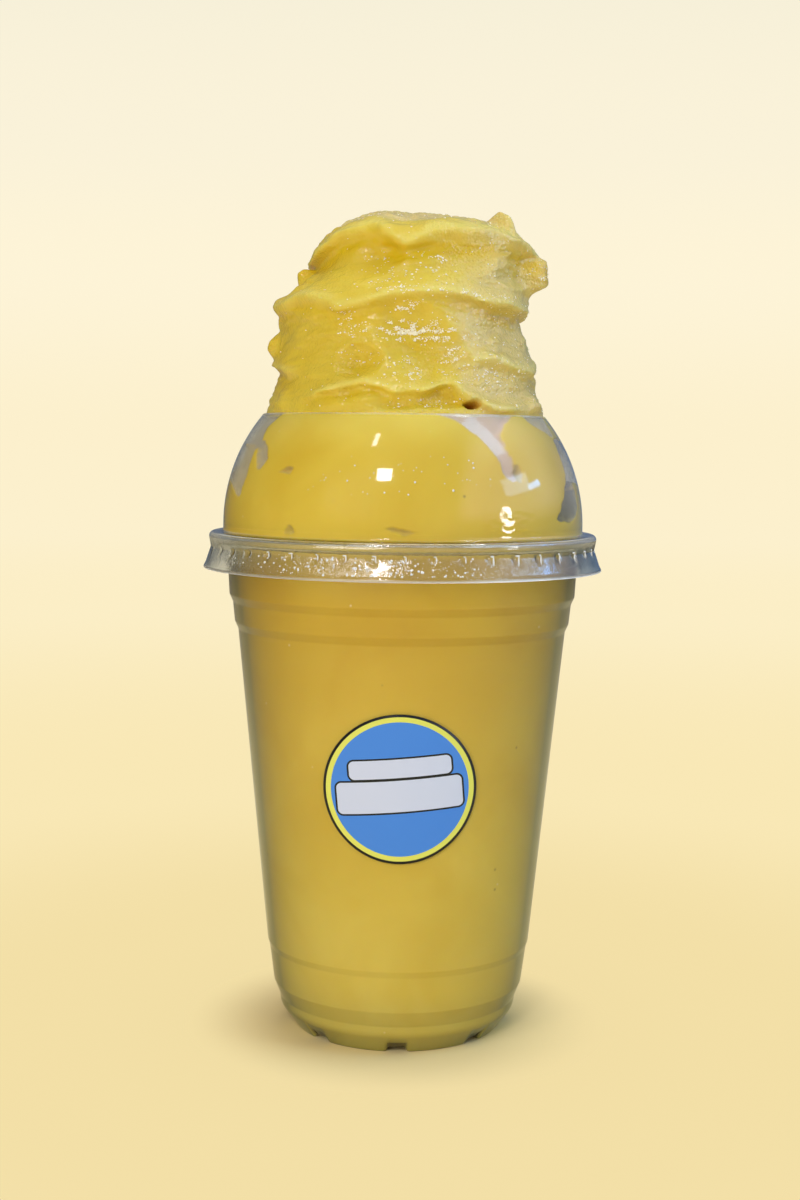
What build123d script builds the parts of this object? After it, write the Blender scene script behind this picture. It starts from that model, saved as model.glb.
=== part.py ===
"""Mango smoothie, piled high through the open dome lid of a clear takeaway cup.

Millimetres. The origin is the centre of the foot ring, on the surface that the cup stands on.
+Z is up and -Y is the side that carries the round label.
"""

import math
import os

from build123d import *

# ---------------------------------------------------------------- cup
cup_height = 128.8  # foot to the top of the rolled rim
rim_radius = 49.0  # outside of the rolled rim
cup_wall = 0.5
rim_roll_width = 3.7  # rim beyond the wall below it
rim_roll_height = 2.6
shoulder_inset = 0.55  # wall at the foot of the top band, in from the mouth
shoulder_drop = 15.6  # foot of the top band, below the rim
stack_step = 0.9  # how far each of the two upper stacking steps goes in
stack_step_height = 2.0
stack_band_height = 5.0  # between the two steps
stack_band_taper = 0.5
wall_taper = 5.63  # degrees, of the plain wall
lower_height = 22.6  # foot of the plain wall
lower_bands = ((0.5, 21.0), (1.7, 11.8), (3.3, 7.7))  # steps under the plain wall: inset, height
heel_inset = 3.5
heel_height = 5.4
heel_corner = 4.2
foot_inset = 7.4  # outside of the flat foot ring, in from the foot of the plain wall
foot_width = 1.7
punt_slope = 4.8  # how far in the base has risen to its raised middle
punt_height = 4.0
step_corner = 1.2
notch_count = 8  # shallow vents across the foot ring
notch_width = 5.5
notch_height = 0.9
notch_length = 3.0  # across the ring

# ---------------------------------------------------------------- lid
lid_wall = 0.4
lid_seat_gap = 0.1  # lid flange above the cup rim
lid_side_gap = 0.15  # skirt round the cup rim
dome_inset = 2.6  # outside of the dome's foot, in from the cup rim
dome_foot_height = 1.8  # upright stretch above the flange
dome_arc_radius = 44.0
opening_radius = 36.2  # outside of the dome at the cut edge
flange_overhang = 0.4  # flange beyond the neck of the skirt
flange_corner = 1.3
neck_drop = 3.9  # narrowest part of the skirt, below the flange
skirt_drop = 7.9
skirt_flare = 1.35
lip_drop = 9.0
lip_flare = 0.55
lug_count = 44  # snap lugs under the rim
lug_width = 3.0
lug_height = 2.1
lug_reach = 0.7  # inwards from the skirt
lug_gap = 0.15  # under the rolled rim

# ---------------------------------------------------------------- smoothie
fill_gap = 0.1  # between the smoothie and the plastic round it
fill_shy = 2.2  # the fill stops this far below the cut edge of the dome
opening_gap = 0.25  # round the smoothie where it passes the cut edge
heap_height = 51.4  # above the cut edge
heap_levels = 24
heap_points = 48  # round each level
# The heap's leaning outline, level by level. The first column is the share of its height.
# The others are shares of the neck's radius: how far the middle has moved to the right and
# to the back, half width, half depth.
heap_outline = (
    (0.00, 0.00, 0.00, 0.985, 0.980),
    (0.08, 0.00, 0.00, 0.962, 0.956),
    (0.23, 0.03, 0.01, 0.923, 0.889),
    (0.31, -0.02, 0.01, 0.900, 0.866),
    (0.41, -0.04, 0.00, 0.889, 0.844),
    (0.53, -0.04, -0.01, 0.883, 0.827),
    (0.58, 0.02, 0.01, 0.872, 0.793),
    (0.66, 0.10, 0.04, 0.850, 0.748),
    (0.74, 0.16, 0.06, 0.800, 0.726),
    (0.80, 0.14, 0.07, 0.740, 0.703),
    (0.90, 0.10, 0.06, 0.640, 0.636),
    (0.955, 0.09, 0.07, 0.540, 0.534),
    (0.985, 0.07, 0.08, 0.366, 0.366),
    (1.00, 0.04, 0.09, 0.140, 0.140),
)
# Folds left by the spatula: how far the crest stands out, how thick it is, and the crest's
# route as azimuth from the front (right positive) and share of the heap's height.
heap_folds = (
    (
        2.6,
        3.0,
        (
            *((-120, 0.72), (-56, 0.82), (-32, 0.88), (-11, 0.875), (8, 0.84), (27, 0.845)),
            *((69, 0.88), (95, 0.83), (150, 0.68)),
        ),
    ),
    (
        2.4,
        2.8,
        (
            *((-125, 0.64), (-80, 0.565), (-53, 0.53), (-31, 0.49), (-18, 0.525), (5, 0.545)),
            *((33, 0.575), (74, 0.545), (120, 0.45)),
        ),
    ),
    (1.4, 2.0, ((-30, 0.10), (-7, 0.105), (13, 0.155), (21, 0.115), (40, 0.08))),
    (2.2, 2.8, ((-170, 0.27), (-130, 0.34), (-95, 0.30), (-70, 0.24), (-45, 0.175))),
    (2.0, 3.0, ((60, 0.25), (90, 0.195), (130, 0.25), (170, 0.39), (215, 0.525))),
    (1.8, 2.8, ((120, 0.64), (160, 0.565), (200, 0.64), (240, 0.78))),
)
# Hollows scooped between the folds: azimuth, share of the heap's height, width round the
# heap in degrees, height of the hollow, depth.
heap_scoops = (
    (-8, 0.72, 46, 5.5, 3.2),
    (4, 0.37, 30, 5.5, 1.8),
    (-27, 0.23, 12, 3.2, 2.2),
    (62, 0.39, 30, 7.0, 0.8),
    (-150, 0.49, 34, 5.0, 2.4),
    (140, 0.80, 36, 5.0, 2.2),
)
# Curls thrown off the spatula: azimuth, share of the heap's height, how far it stands out
# of the heap's side, radius.
heap_curls = (
    (-88, 0.345, 2.0, 3.2),
    (-84, 0.675, 1.6, 2.6),
    (76, 0.905, 2.0, 3.0),
    (88, 0.725, 2.4, 4.2),
    (152, 0.41, 1.8, 3.0),
    (-140, 0.60, 1.6, 2.8),
)
# Air pockets against the dome: azimuth, share of the way up the dome, bite, radius.
air_pockets = (
    (-78, 0.60, 2.6, 13),
    (-58, 0.70, 1.8, 8),
    (78, 0.27, 2.0, 10),
    (50, 0.79, 1.6, 11),
    (165, 0.45, 2.2, 12),
)

# ---------------------------------------------------------------- label
label_radius = 18.6
label_rise = 5.8  # middle of the label, above the middle of the plain wall
label_thickness = 0.12
label_gap = 0.06  # between label and cup wall


# ---------------------------------------------------------------- worked out from the above
mouth_radius = rim_radius - rim_roll_width
shoulder_height = cup_height - shoulder_drop
shoulder_radius = mouth_radius - shoulder_inset
band_height = shoulder_height - stack_step_height - stack_band_height
band_radius = shoulder_radius - stack_step - stack_band_taper
taper_height = band_height - stack_step_height
taper_radius = band_radius - stack_step
lower_radius = taper_radius - (taper_height - lower_height) * math.tan(math.radians(wall_taper))
foot_radius = lower_radius - foot_inset
foot_middle = foot_radius - foot_width / 2
roll_top = cup_height - cup_wall  # hidden side of the rolled rim
roll_bottom = cup_height - rim_roll_height + cup_wall
roll_corner = 0.45 * (roll_top - roll_bottom)

flange_top = cup_height + lid_seat_gap + lid_wall
neck_radius = rim_radius + lid_side_gap + lid_wall
neck_height = flange_top - neck_drop
skirt_radius = neck_radius + skirt_flare
dome_radius = rim_radius - dome_inset
dome_foot = flange_top + dome_foot_height
dome_centre = dome_radius - dome_arc_radius  # radius at which the dome's arc is centred
opening_angle = math.degrees(math.acos((opening_radius - dome_centre) / dome_arc_radius))
opening_height = dome_foot + dome_arc_radius * math.sin(math.radians(opening_angle))

plastic_inset = lid_wall + fill_gap
fill_arc_radius = dome_arc_radius - plastic_inset
fill_top = opening_height - fill_shy
fill_angle = math.degrees(math.asin((fill_top - dome_foot) / fill_arc_radius))
fill_top_radius = dome_centre + fill_arc_radius * math.cos(math.radians(fill_angle))
fill_bottom = punt_height + cup_wall + fill_gap
heap_neck = opening_radius - lid_wall - opening_gap

cup_points = [
    (0, punt_height),
    (foot_radius - foot_width - punt_slope, punt_height),
    (foot_radius - foot_width, 0),
    (foot_radius, 0),
    (lower_radius - heel_inset, heel_height),
    *((lower_radius - inset, height) for inset, height in reversed(lower_bands)),
    (lower_radius, lower_height),
    (taper_radius, taper_height),
    (band_radius, band_height),
    (shoulder_radius - stack_step, shoulder_height - stack_step_height),
    (shoulder_radius, shoulder_height),
    (mouth_radius, cup_height - 2 * rim_roll_height),
]
cup_corners = [2.0, 0.5, 0.4, heel_corner] + [step_corner] * (len(cup_points) - 5)


def wall_radius(height):
    """Outside radius of the cup's plain wall at a height."""
    return taper_radius - (taper_height - height) * math.tan(math.radians(wall_taper))


def between(table, at):
    """The row of a table at a value of its first column, read off between its rows."""
    for low, high in zip(table, table[1:]):
        if at <= high[0]:
            break
    share = (at - low[0]) / (high[0] - low[0])
    return [a + share * (b - a) for a, b in zip(low, high)]


def hill(distance, half_width):
    """A smooth hill of height 1 that ends at twice its half width."""
    share = min(abs(distance) / (2 * half_width), 1)
    return (1 - share * share) ** 2


def fold_reach(azimuth, share):
    """How far the folds and hollows push the heap out at a place on its side."""
    reach = 0.0
    for out, thickness, crest in heap_folds:
        for turn in (azimuth, azimuth - 360, azimuth + 360):
            if crest[0][0] < turn < crest[-1][0]:
                run_out = min(turn - crest[0][0], crest[-1][0] - turn, 25) / 25
                off = heap_height * (share - between(crest, turn)[1])
                reach += out * run_out * hill(off, thickness)
    for middle, level, width, tall, depth in heap_scoops:
        round_off = (azimuth - middle + 180) % 360 - 180
        reach -= depth * hill(round_off, width / 2) * hill(heap_height * (share - level), tall / 2)
    return reach


def heap_edge(azimuth, share, inwards=0.0):
    """The place on the heap's side at an azimuth and a share of its height."""
    row = between(heap_outline, share)
    shift_x, shift_y, half_width, half_depth = (heap_neck * value for value in row[1:])
    turn = math.radians(azimuth)
    sway = 0.5 * math.sin(3 * turn + 2 * math.pi * share)
    room = min(share / 0.12, 1) * min((1 - share) / 0.08, 1)
    reach = room * (fold_reach(azimuth, share) + sway) - inwards
    side_x = shift_x + (half_width + reach) * math.sin(turn)
    side_y = shift_y - (half_depth + reach) * math.cos(turn)
    return side_x, side_y


# Cup: one thermoformed wall, rolled over at the rim, with vents across its foot ring
with BuildPart() as cup:
    with BuildSketch(Plane.XZ):
        with BuildLine():
            FilletPolyline(
                *cup_points,
                (mouth_radius, roll_top),
                (rim_radius - cup_wall, roll_top),
                (rim_radius - cup_wall, roll_bottom),
                (mouth_radius + 2 * cup_wall, roll_bottom),
                radius=[*cup_corners, roll_corner, roll_corner, roll_corner],
            )
            offset(amount=cup_wall, side=Side.LEFT, closed=True)
        make_face()
    revolve(axis=Axis.Z)
    with PolarLocations(foot_middle, notch_count, start_angle=-90):
        Box(
            notch_length,
            notch_width,
            notch_height + cup_wall,
            align=(Align.CENTER, Align.CENTER, Align.MIN),
        )
    with PolarLocations(foot_middle, notch_count, start_angle=-90):
        Box(2 * notch_length, notch_width - 2 * cup_wall, 2 * notch_height, mode=Mode.SUBTRACT)
cup.part.label = "cup"

# Lid: a dome on a flange, with a flared skirt whose lugs snap under the cup's rim
lug_turn = math.degrees(lug_width / neck_radius)
lug_top = cup_height - rim_roll_height - lug_gap
lug_bottom = lug_top - lug_height
lug_tip = neck_radius - lid_wall - lug_reach
lug_root = neck_radius - lid_wall / 2
flare_at_lug = skirt_flare * (neck_height - lug_bottom) / (skirt_drop - neck_drop)
with BuildPart() as lid:
    with BuildSketch(Plane.XZ):
        with BuildLine():
            FilletPolyline(
                (skirt_radius + lip_flare, flange_top - lip_drop),
                (skirt_radius, flange_top - skirt_drop),
                (neck_radius, neck_height),
                (neck_radius + flange_overhang, flange_top),
                (dome_radius, flange_top),
                (dome_radius, dome_foot),
                radius=[0.6, 1.5, flange_corner, 0.8],
            )
            CenterArc((dome_centre, dome_foot), dome_arc_radius, 0, opening_angle)
            offset(amount=lid_wall, side=Side.LEFT, closed=True)
        make_face()
    revolve(axis=Axis.Z)
    for i in range(lug_count):
        turn = 360 * i / lug_count - lug_turn / 2
        with BuildSketch(Plane.XZ.rotated((0, 0, turn))):
            with BuildLine():
                Polyline(
                    (lug_root, lug_top),
                    (lug_tip, lug_top),
                    (lug_tip, lug_top - lug_height / 3),
                    (lug_root + flare_at_lug, lug_bottom),
                    (lug_root, neck_height),
                    close=True,
                )
            make_face()
        revolve(axis=Axis.Z, revolution_arc=lug_turn)
lid.part.label = "lid"

# Smoothie: fills cup and dome, then rises through the opening as a folded heap
with BuildPart() as smoothie:
    with BuildSketch(Plane.XZ):
        with BuildLine():
            wall = FilletPolyline(
                *cup_points,
                (mouth_radius, cup_height + fill_gap),
                radius=cup_corners,
            )
            offset(wall, amount=cup_wall + fill_gap, side=Side.LEFT, closed=False, mode=Mode.REPLACE)
            Polyline(
                (mouth_radius - cup_wall - fill_gap, cup_height + fill_gap),
                (dome_radius - plastic_inset, cup_height + fill_gap),
                (dome_radius - plastic_inset, dome_foot),
            )
            CenterArc((dome_centre, dome_foot), fill_arc_radius, 0, fill_angle)
            Polyline((fill_top_radius, fill_top), (0, fill_top), (0, fill_bottom))
        make_face()
    revolve(axis=Axis.Z)
    with BuildSketch(Plane.XY.offset(fill_top)):
        Circle(heap_neck)
    extrude(amount=fill_shy + 2 * fill_gap)
    for i in range(heap_levels + 1):
        share = (i / heap_levels) ** 0.9
        level_points = [heap_edge(360 * k / heap_points, share) for k in range(heap_points)]
        with BuildSketch(Plane.XY.offset(opening_height + share * heap_height)):
            with BuildLine():
                Spline(*level_points, periodic=True)
            make_face()
    loft(ruled=True)
    for azimuth, share, stands_out, radius in heap_curls:
        side_x, side_y = heap_edge(azimuth, share, radius - stands_out)
        with Locations((side_x, side_y, opening_height + share * heap_height)):
            Sphere(radius)
    for azimuth, share, bite, radius in air_pockets:
        turn = math.radians(azimuth)
        rise = math.radians(share * opening_angle)
        away = dome_centre + (fill_arc_radius + radius - bite) * math.cos(rise)
        level = dome_foot + (fill_arc_radius + radius - bite) * math.sin(rise)
        with Locations((away * math.sin(turn), -away * math.cos(turn), level)):
            Sphere(radius, mode=Mode.SUBTRACT)
    with PolarLocations(foot_middle, notch_count, start_angle=-90):
        Box(
            notch_length + 2 * fill_gap,
            notch_width + 2 * fill_gap,
            notch_height + cup_wall + fill_gap,
            align=(Align.CENTER, Align.CENTER, Align.MIN),
            mode=Mode.SUBTRACT,
        )
smoothie.part.label = "smoothie"

# Label: a thin round sticker that follows the taper of the cup
label_height = (lower_height + taper_height) / 2 + label_rise
label_low = label_height - label_radius - 1
label_high = label_height + label_radius + 1
with BuildPart() as label:
    with BuildSketch(Plane.XZ):
        with BuildLine():
            Polyline(
                (wall_radius(label_low) + label_gap, label_low),
                (wall_radius(label_low) + label_gap + label_thickness, label_low),
                (wall_radius(label_high) + label_gap + label_thickness, label_high),
                (wall_radius(label_high) + label_gap, label_high),
                close=True,
            )
        make_face()
    revolve(axis=Axis.Z)
    with BuildSketch(Plane.XZ):
        with Locations((0, label_height)):
            Circle(label_radius)
    extrude(amount=rim_radius, mode=Mode.INTERSECT)
label.part.label = "label"

os.makedirs("parts", exist_ok=True)
export_step(cup.part, "parts/cup.step")
export_step(lid.part, "parts/lid.step")
export_step(smoothie.part, "parts/smoothie.step")
export_step(label.part, "parts/label.step")
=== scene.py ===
"""Mango smoothie in a clear takeaway cup, heaped up through an open dome lid.

Sizes are millimetres until a mesh is made. The cup's foot stands on z = 0, its axis is the
Z axis, and azimuths are degrees from the label's side (-Y), positive to the right.
"""

import bpy
import numpy as np
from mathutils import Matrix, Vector


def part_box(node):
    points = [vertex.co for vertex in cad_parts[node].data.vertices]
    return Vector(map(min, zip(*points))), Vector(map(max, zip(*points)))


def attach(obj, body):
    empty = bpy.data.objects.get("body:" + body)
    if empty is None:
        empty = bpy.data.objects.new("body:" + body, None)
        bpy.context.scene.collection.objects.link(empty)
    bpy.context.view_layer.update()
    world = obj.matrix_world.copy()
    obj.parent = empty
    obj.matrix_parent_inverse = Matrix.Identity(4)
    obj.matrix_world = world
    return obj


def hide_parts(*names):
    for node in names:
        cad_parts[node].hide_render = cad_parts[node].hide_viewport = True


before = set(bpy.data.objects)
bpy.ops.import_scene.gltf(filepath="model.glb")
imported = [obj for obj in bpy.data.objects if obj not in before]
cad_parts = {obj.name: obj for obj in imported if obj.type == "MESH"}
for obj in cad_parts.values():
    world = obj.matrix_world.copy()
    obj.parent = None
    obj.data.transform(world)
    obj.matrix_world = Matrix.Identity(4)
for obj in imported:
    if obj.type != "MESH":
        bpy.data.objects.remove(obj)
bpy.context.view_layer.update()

# -------- Cup
# A clear PET cold cup, thermoformed in one piece: vented foot ring, ribbed heel, plain
# tapered wall, two stacking steps and a rim that is curled outwards. It stands on its foot
# ring and carries everything else.

cup_height = 1000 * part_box("cup")[1].z
rim_radius = 49.0
cup_wall = 0.5
mouth_radius = rim_radius - 3.7
taper_top_radius, taper_top = 42.45, cup_height - 24.6
taper_low_radius, taper_low = 34.41, 22.6
foot_radius = taper_low_radius - 7.4
cup_corners = (  # outside of the wall: radius, height, radius of the corner
    (0.0, 4.0, 0.0),
    (20.5, 4.0, 2.0),
    (foot_radius - 1.7, 0.0, 0.8),
    (foot_radius, 0.0, 0.8),
    (taper_low_radius - 3.5, 5.4, 4.2),
    (taper_low_radius - 3.3, 7.7, 1.0),
    (taper_low_radius - 1.7, 11.8, 1.2),
    (taper_low_radius - 0.5, 21.0, 1.2),
    (taper_low_radius, taper_low, 1.2),
    (taper_top_radius, taper_top, 1.2),
    (taper_top_radius + 0.9, taper_top + 2.0, 1.2),
    (taper_top_radius + 1.4, taper_top + 7.0, 1.2),
    (taper_top_radius + 2.3, taper_top + 9.0, 1.2),
    (mouth_radius, cup_height - 5.2, 1.2),
)
curl_corners = (  # hidden side of the curled rim
    (mouth_radius, cup_height - 0.5, 0.8),
    (rim_radius - cup_wall, cup_height - 0.5, 0.75),
    (rim_radius - cup_wall, cup_height - 2.1, 0.75),
    (mouth_radius + 1.3, cup_height - 2.1, 0.0),
)
vent_count, vent_rise, vent_half_turn = 8, 1.1, 5.2
ring_half_width, cup_columns = 0.85, 384


def outline(corners, inset=0.0, steps=6):
    """Rounded outline (radius, height) through the corners, moved to its left by inset.
    A corner slides along its bisector by inset over the cosine of half its turn, its radius
    loses the inset on a left turn and gains it on a right turn, and its arc starts and ends
    at radius times the tangent of half the turn."""
    place = np.array([c[:2] for c in corners])
    run = np.diff(place, axis=0)
    run /= np.linalg.norm(run, axis=1)[:, None]
    left = np.stack([-run[:, 1], run[:, 0]], axis=1)
    made = [place[0] + inset * left[0]]
    for i in range(1, len(corners) - 1):
        bisector = left[i - 1] + left[i]
        cos_half = np.linalg.norm(bisector) / 2
        bisector /= 2 * cos_half
        turn = run[i - 1, 0] * run[i, 1] - run[i - 1, 1] * run[i, 0]
        radius = max(corners[i][2] - np.sign(turn) * inset, 0.12)
        corner = place[i] + bisector * inset / cos_half
        centre = corner + np.sign(turn) * bisector * radius / cos_half
        half = np.arccos(np.clip(cos_half, -1, 1))
        sweep = np.linspace(-half, half, steps)[:, None] * np.sign(turn)
        spoke = -np.sign(turn) * bisector * radius
        made.extend(
            centre
            + np.cos(sweep) * spoke
            + np.sin(sweep) * np.array([-spoke[1], spoke[0]])
        )
    made.append(place[-1] + inset * left[-1])
    return np.array(made)


def spaced(line, step):
    """The outline with points added along its runs so that none is longer than step."""
    gap = np.linalg.norm(np.diff(line, axis=0), axis=1)
    parts = np.maximum(np.ceil(gap / step).astype(int), 1)
    share = np.concatenate([i + np.arange(n) / n for i, n in enumerate(parts)] + [[len(gap)]])
    return np.stack([np.interp(share, np.arange(len(line)), line[:, k]) for k in (0, 1)], axis=1)


def turned(line, columns):
    """Grid of an outline turned round the Z axis: x = r sin(azimuth), y = -r cos(azimuth)."""
    azimuth = np.radians(np.arange(columns) * 360 / columns)
    r, z = line[:, :1], line[:, 1:]
    grid = np.stack([r * np.sin(azimuth), -r * np.cos(azimuth), z + 0 * azimuth], axis=-1)
    return grid, np.degrees(azimuth)


def linked(name, data):
    """A new object in the scene, at the origin, that holds a mesh, a lamp or a camera."""
    made = bpy.data.objects.new(name, data)
    bpy.context.scene.collection.objects.link(made)
    return made


def new_piece(name, points, faces):
    """A smooth mesh object on points in millimetres."""
    mesh = bpy.data.meshes.new(name)
    mesh.from_pydata((points / 1000).tolist(), [], faces)
    mesh.shade_smooth()
    return linked(name, mesh)


def skin(name, grid, loop=False, first=None, last=None):
    """A closed, smooth mesh on a grid of points in millimetres whose columns run round the
    piece. The rows either close into a loop, or end in a pole at the given point."""
    rows, columns = grid.shape[:2]
    index = np.arange(rows * columns).reshape(rows, columns)
    low = index if loop else index[:-1]
    high = np.roll(index, -1, axis=0) if loop else index[1:]
    quads = np.stack([low, np.roll(low, -1, 1), np.roll(high, -1, 1), high], axis=-1).reshape(-1, 4)
    points = grid.reshape(-1, 3)
    faces = quads.tolist()
    if not loop:
        points = np.vstack([points, first, last])
        pole = rows * columns
        start, end = index[0], index[-1]
        faces += np.stack([np.roll(start, -1), start, 0 * start + pole], axis=-1).tolist()
        faces += np.stack([end, np.roll(end, -1), 0 * end + pole + 1], axis=-1).tolist()
    return new_piece(name, points, faces)


def soft_step(value, low, high):
    """0 below low, 1 above high, and an S-shaped rise between."""
    share = np.clip((value - low) / (high - low), 0, 1)
    return share * share * (3 - 2 * share)


def new_node(tree, kind, inputs=None, **settings):
    """A shader node. Its settings are made first, and then each of its inputs, given by name or
    by place, is linked to the output or takes the value given for it."""
    node = tree.nodes.new("ShaderNode" + kind)
    for name, value in settings.items():
        setattr(node, name, value)
    for name, value in (inputs or {}).items():
        if isinstance(value, bpy.types.NodeSocket):
            tree.links.new(value, node.inputs[name])
        else:
            colour = node.inputs[name].type == "RGBA"
            node.inputs[name].default_value = (*value, 1) if colour else value
    return node


def new_material(piece, name):
    """The empty node tree of a new material, which is put on the piece."""
    material = bpy.data.materials.new(name)
    material.use_nodes = True
    material.node_tree.nodes.clear()
    piece.data.materials.append(material)
    return material.node_tree


def new_group(name, takes, gives):
    """An empty node group, and the outputs of its input node. Its inputs and outputs are given
    as names with kinds of socket."""
    group = bpy.data.node_groups.new(name, "ShaderNodeTree")
    for way, sockets in (("INPUT", takes), ("OUTPUT", gives)):
        for socket, kind in sockets.items():
            group.interface.new_socket(socket, in_out=way, socket_type="NodeSocket" + kind)
    return group, group.nodes.new("NodeGroupInput").outputs


def give_out(group, outputs):
    """Ends a node group with its outputs."""
    out = group.nodes.new("NodeGroupOutput")
    for name, value in outputs.items():
        group.links.new(value, out.inputs[name])


def show(tree, surface):
    """Ends a material with a surface."""
    new_node(tree, "OutputMaterial", {"Surface": surface})


def object_place(tree):
    """Output with the place on the object, in metres."""
    return new_node(tree, "TexCoord").outputs["Object"]


def marked(tree, name):
    """Output with the value that mark() gave the piece's points under a name."""
    return new_node(tree, "Attribute", attribute_name=name).outputs["Fac"]


def noise(tree, place, scale, detail, distortion=0.0):
    """Output of a noise texture, from 0 to 1."""
    inputs = {"Vector": place, "Scale": scale, "Detail": detail, "Distortion": distortion}
    return new_node(tree, "TexNoise", inputs).outputs["Fac"]


def cells(tree, place, scale):
    """Outputs of a cell texture: the distance from each cell's middle, and its own colour."""
    outputs = new_node(tree, "TexVoronoi", {"Vector": place, "Scale": scale}).outputs
    return outputs["Distance"], outputs["Color"]


def maths(tree, operation, *values, **settings):
    """Output of a Math node on outputs or numbers."""
    inputs = dict(enumerate(values))
    return new_node(tree, "Math", inputs, operation=operation, **settings).outputs["Value"]


def rescaled(tree, value, start, end, low=0.0, high=1.0, kind="LINEAR"):
    """Output of a Map Range node, which turns the run from start to end into low to high."""
    inputs = {"Value": value, "From Min": start, "From Max": end, "To Min": low, "To Max": high}
    return new_node(tree, "MapRange", inputs, interpolation_type=kind).outputs["Result"]


def mixed(tree, factor, colour, other, **settings):
    """Output of a Mix node, which goes from one colour to the other with the factor."""
    inputs = {"Factor": factor, 6: colour, 7: other}
    return new_node(tree, "Mix", inputs, data_type="RGBA", **settings).outputs[2]


def bumped(tree, height, distance, strength, normal=None):
    """Normal of a Bump node, on top of another normal where one is given."""
    inputs = {"Height": height, "Distance": distance, "Strength": strength}
    if normal is not None:
        inputs["Normal"] = normal
    return new_node(tree, "Bump", inputs).outputs["Normal"]


def add_scuffs_group():
    """Node group: faint scratches and waviness of formed plastic, and the film of fine droplets
    where it is wet. A noise squeezed to thin lines roughens it, a broad noise is its waviness
    as bump, and cells of two sizes are the droplets."""
    takes = {"Vector": "Vector", "Waviness": "Float", "Wet": "Float"}
    group, given = new_group("formed plastic", takes, {"Normal": "Vector", "Roughness": "Float"})
    place = given["Vector"]
    scratches = rescaled(group, noise(group, place, 420, 2, 1.5), 0.62, 0.80, 0.07, 0.16)
    normal = bumped(group, noise(group, place, 70, 1), 0.0012, given["Waviness"])
    for scale, height in ((900, 0.00016), (2100, 0.00008)):
        normal = bumped(group, cells(group, place, scale)[0], height, given["Wet"], normal)
    give_out(group, {"Normal": normal, "Roughness": scratches})
    return group


formed_plastic = add_scuffs_group()


def add_clear_plastic(piece, name, waviness, clearness):
    """Clear PET: refracting for what the camera sees and greyer where it is seen on the slant,
    which is partly the plastic's own tint and mostly painted shade for its dim sides, but plainly
    see-through for shadow and diffuse light, so that the drink inside is lit as brightly as it is
    outside. Its cut edges, marked by an attribute, are matt and pale."""
    tree = new_material(piece, name)
    inputs = {"Vector": object_place(tree), "Waviness": waviness, "Wet": marked(tree, "wet")}
    scuffs = new_node(tree, "Group", inputs, node_tree=formed_plastic).outputs
    # Painted shade: the plastic's colour greys on the slant as far as the piece is marked for it, partly
    # its own tint and mostly the shade of its dim sides.
    slant = new_node(tree, "LayerWeight", {"Blend": 0.5}).outputs["Facing"]
    steep = maths(tree, "POWER", slant, 1.5)
    tinted_and_shaded = maths(tree, "MULTIPLY", steep, marked(tree, "slant_tint_and_shade"), use_clamp=True)
    matt = maths(tree, "MULTIPLY_ADD", marked(tree, "cut_edge"), 0.5, scuffs["Roughness"])
    plastic = {
        "Base Color": mixed(tree, tinted_and_shaded, (0.95, 0.96, 0.97), (0.05, 0.085, 0.13)),
        "Roughness": matt,
        "IOR": 1.575,
        "Transmission Weight": 1,
        "Normal": scuffs["Normal"],
    }
    shader = new_node(tree, "BsdfPrincipled", plastic).outputs["BSDF"]
    passing = new_node(tree, "BsdfTransparent", {"Color": [clearness] * 3}).outputs["BSDF"]
    rays = new_node(tree, "LightPath").outputs
    either = maths(tree, "MAXIMUM", rays["Is Shadow Ray"], rays["Is Diffuse Ray"])
    show(tree, new_node(tree, "MixShader", {0: either, 1: shader, 2: passing}).outputs["Shader"])


def mark(piece, name, values):
    """Adds a named value per point to a piece's mesh, for its material to read."""
    attribute = piece.data.attributes.new(name, "FLOAT", "POINT")
    attribute.data.foreach_set("value", np.asarray(values, np.float32).ravel())


def off_nearest(azimuth, count):
    """Degrees from each azimuth to the nearest of count places, spaced evenly from 0."""
    return np.abs((azimuth + 180 / count) % (360 / count) - 180 / count)


def vented(grid, azimuth):
    """The grid with its foot ring raised at each vent. The lift is an S-shaped bump across the
    vent times one across the ring."""
    off = off_nearest(azimuth, vent_count)
    across = 1 - soft_step(off, vent_half_turn - 0.9, vent_half_turn + 0.9)
    ring = np.abs(np.hypot(grid[..., 0], grid[..., 1]) - foot_radius + ring_half_width)
    lift = vent_rise * across * (grid[..., 2] < 3.0) * (1 - soft_step(ring, 1.6, 3.2))
    return grid + lift[..., None] * np.array([0, 0, 1])


cup_sides = [spaced(outline(cup_corners + curl_corners, inset), 6.0) for inset in (0.0, cup_wall)]
cup_grid, cup_azimuth = turned(np.vstack([cup_sides[0][1:], cup_sides[1][:0:-1]]), cup_columns)
cup_floor = cup_corners[0][1]
cup_poles = (0, 0, cup_floor), (0, 0, cup_floor + cup_wall)
cup = skin("cup_body", vented(cup_grid, cup_azimuth), False, *cup_poles)
# Painted shade: the cup is marked to grey strongly on the slant, for its dim sides.
mark(cup, "slant_tint_and_shade", np.full(len(cup.data.vertices), 1.7))
add_clear_plastic(cup, "clear cup plastic", 0.05, 0.93)
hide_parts("cup")
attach(cup, "root")

# -------- Label
# A round sticker, pressed onto the plain part of the cup's front and bent to its taper. It
# is printed in flat inks under a gloss varnish: dark edge, lime ring, blue field and
# two blank white bars.

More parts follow.
